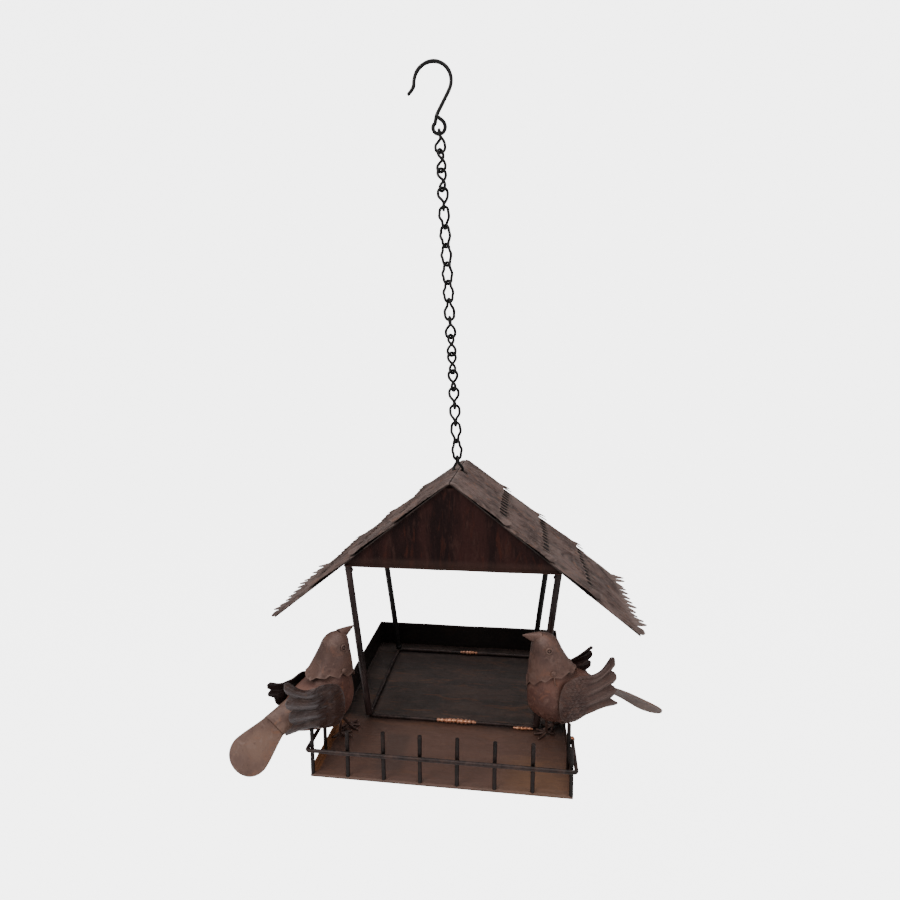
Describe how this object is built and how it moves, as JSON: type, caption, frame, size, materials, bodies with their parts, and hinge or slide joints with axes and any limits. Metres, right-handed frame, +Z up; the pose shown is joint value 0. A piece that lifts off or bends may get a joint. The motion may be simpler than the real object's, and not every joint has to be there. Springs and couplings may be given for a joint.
{
  "type": "hanging bird feeder",
  "caption": "Hanging bird feeder: a pitched shingled roof on posts over an open seed tray and fenced porch, with birds on the corners, on a chain with a hook.",
  "frame": {"origin": "underside of the tray, directly below the middle of the ridge", "axes": "+Z up to the hook, +X to the right seen from the porch, -Y towards the porch"},
  "size_m": [0.3224, 0.2577, 0.5526],
  "materials": {
    "hook_wire": "black painted wire, satin",
    "chain_wire": "black painted wire, satin, a little rust at the bends",
    "roof_metal": "antique brown paint over embossed sheet, dry-brushed bronze",
    "panel_metal": "dark rust-brown paint, satin",
    "post_metal": "dark rust-brown paint, satin",
    "tray_metal": "rust-brown paint with orange streaks on the porch and near black inside",
    "fence_wire": "dark rust-brown paint, satin",
    "braze": "bright copper-coloured brazing",
    "bird_metal": "rust-brown paint, dry-brushed, satin",
    "wing_metal": "darker rust-brown paint over feather relief",
    "leg_wire": "black-brown painted wire"
  },
  "bodies": {
    "hook": {"hook": "hook_wire"},
    "link_01": {"chain_link_01": "chain_wire"},
    "link_02": {"chain_link_02": "chain_wire"},
    "link_03": {"chain_link_03": "chain_wire"},
    "link_04": {"chain_link_04": "chain_wire"},
    "link_05": {"chain_link_05": "chain_wire"},
    "link_06": {"chain_link_06": "chain_wire"},
    "link_07": {"chain_link_07": "chain_wire"},
    "link_08": {"chain_link_08": "chain_wire"},
    "link_09": {"chain_link_09": "chain_wire"},
    "link_10": {"chain_link_10": "chain_wire"},
    "link_11": {"chain_link_11": "chain_wire"},
    "link_12": {"chain_link_12": "chain_wire"},
    "link_13": {"chain_link_13": "chain_wire"},
    "link_14": {"chain_link_14": "chain_wire"},
    "link_15": {"chain_link_15": "chain_wire"},
    "link_16": {"chain_link_16": "chain_wire"},
    "link_17": {"chain_link_17": "chain_wire"},
    "link_18": {"chain_link_18": "chain_wire"},
    "link_19": {"chain_link_19": "chain_wire"},
    "house": {"ridge_hanger": "chain_wire", "roof_sheet": "roof_metal", "shingle_left_1": "roof_metal", "shingle_left_2": "roof_metal", "shingle_left_3": "roof_metal", "shingle_left_4": "roof_metal", "shingle_right_1": "roof_metal", "shingle_right_2": "roof_metal", "shingle_right_3": "roof_metal", "shingle_right_4": "roof_metal", "gable_front": "panel_metal", "gable_rear": "panel_metal", "post_front_left": "post_metal", "post_front_right": "post_metal", "post_rear_left": "post_metal", "post_rear_right": "post_metal", "base_frame": "post_metal", "tray": "tray_metal", "porch_rail": "fence_wire", "porch_pickets": "fence_wire", "braze_beads": "braze", "left_bird_body": "bird_metal", "left_bird_head": "bird_metal", "left_bird_wing_near": "wing_metal", "left_bird_wing_far": "wing_metal", "left_bird_tail": "bird_metal", "left_bird_legs": "leg_wire", "left_bird_rivets": "bird_metal", "right_bird_body": "bird_metal", "right_bird_head": "bird_metal", "right_bird_wing_near": "wing_metal", "right_bird_wing_far": "wing_metal", "right_bird_tail": "bird_metal", "right_bird_legs": "leg_wire", "right_bird_rivets": "bird_metal"}
  },
  "joints": [
    {"name": "chain_twist", "type": "hinge", "parent": "hook", "child": "link_01", "pos_m": [-0.0153, 0, 0.49694], "axis": [-0.0523, 0, 0.9986], "range_deg": [-18, 18]},
    {"name": "link_02_tilt", "type": "hinge", "parent": "link_01", "child": "link_02", "pos_m": [-0.01449, 0, 0.48157], "axis": [-0.422, -0.9063, -0.0221], "range_deg": [-22, 22]},
    {"name": "link_03_tilt", "type": "hinge", "parent": "link_02", "child": "link_03", "pos_m": [-0.01355, 0, 0.46354], "axis": [0.9051, -0.4226, 0.0474], "range_deg": [-22, 22]},
    {"name": "link_04_tilt", "type": "hinge", "parent": "link_03", "child": "link_04", "pos_m": [-0.01288, 0, 0.45081], "axis": [-0.9835, -0.1736, -0.0515], "range_deg": [-22, 22]},
    {"name": "link_05_tilt", "type": "hinge", "parent": "link_04", "child": "link_05", "pos_m": [-0.01194, 0, 0.43278], "axis": [-0.1734, 0.9848, -0.0091], "range_deg": [-22, 22]},
    {"name": "link_06_tilt", "type": "hinge", "parent": "link_05", "child": "link_06", "pos_m": [-0.01127, 0, 0.42005], "axis": [0.8648, -0.5, 0.0453], "range_deg": [-22, 22]},
    {"name": "link_07_tilt", "type": "hinge", "parent": "link_06", "child": "link_07", "pos_m": [-0.01033, 0, 0.40203], "axis": [0.4993, 0.866, 0.0262], "range_deg": [-22, 22]},
    {"name": "link_08_tilt", "type": "hinge", "parent": "link_07", "child": "link_08", "pos_m": [-0.00966, 0, 0.38929], "axis": [-0.7061, 0.7071, -0.037], "range_deg": [-22, 22]},
    {"name": "link_09_tilt", "type": "hinge", "parent": "link_08", "child": "link_09", "pos_m": [-0.00871, 0, 0.37127], "axis": [-0.7061, -0.7071, -0.037], "range_deg": [-22, 22]},
    {"name": "link_10_tilt", "type": "hinge", "parent": "link_09", "child": "link_10", "pos_m": [-0.00805, 0, 0.35853], "axis": [0.4378, -0.8988, 0.0229], "range_deg": [-22, 22]},
    {"name": "link_11_tilt", "type": "hinge", "parent": "link_10", "child": "link_11", "pos_m": [-0.0071, 0, 0.34051], "axis": [0.8976, 0.4384, 0.047], "range_deg": [-22, 22]},
    {"name": "link_12_tilt", "type": "hinge", "parent": "link_11", "child": "link_12", "pos_m": [-0.00643, 0, 0.32778], "axis": [0.4378, 0.8988, 0.0229], "range_deg": [-22, 22]},
    {"name": "link_13_tilt", "type": "hinge", "parent": "link_12", "child": "link_13", "pos_m": [-0.00549, 0, 0.30975], "axis": [-0.8976, 0.4384, -0.047], "range_deg": [-22, 22]},
    {"name": "link_14_tilt", "type": "hinge", "parent": "link_13", "child": "link_14", "pos_m": [-0.00482, 0, 0.29702], "axis": [-0.8734, -0.4848, -0.0458], "range_deg": [-22, 22]},
    {"name": "link_15_tilt", "type": "hinge", "parent": "link_14", "child": "link_15", "pos_m": [-0.00388, 0, 0.27899], "axis": [0.4841, -0.8746, 0.0254], "range_deg": [-22, 22]},
    {"name": "link_16_tilt", "type": "hinge", "parent": "link_15", "child": "link_16", "pos_m": [-0.00321, 0, 0.26626], "axis": [0.998, -0.0349, 0.0523], "range_deg": [-22, 22]},
    {"name": "link_17_tilt", "type": "hinge", "parent": "link_16", "child": "link_17", "pos_m": [-0.00227, 0, 0.24824], "axis": [0.0349, 0.9994, 0.0018], "range_deg": [-22, 22]},
    {"name": "link_18_tilt", "type": "hinge", "parent": "link_17", "child": "link_18", "pos_m": [-0.0016, 0, 0.2355], "axis": [-0.7061, 0.7071, -0.037], "range_deg": [-22, 22]},
    {"name": "link_19_tilt", "type": "hinge", "parent": "link_18", "child": "link_19", "pos_m": [-0.00065, 0, 0.21748], "axis": [-0.7061, -0.7071, -0.037], "range_deg": [-22, 22]},
    {"name": "house_rock", "type": "hinge", "parent": "link_19", "child": "house", "pos_m": [0, 0, 0.205], "axis": [0, 1, 0], "range_deg": [-20, 20]}
  ]
}
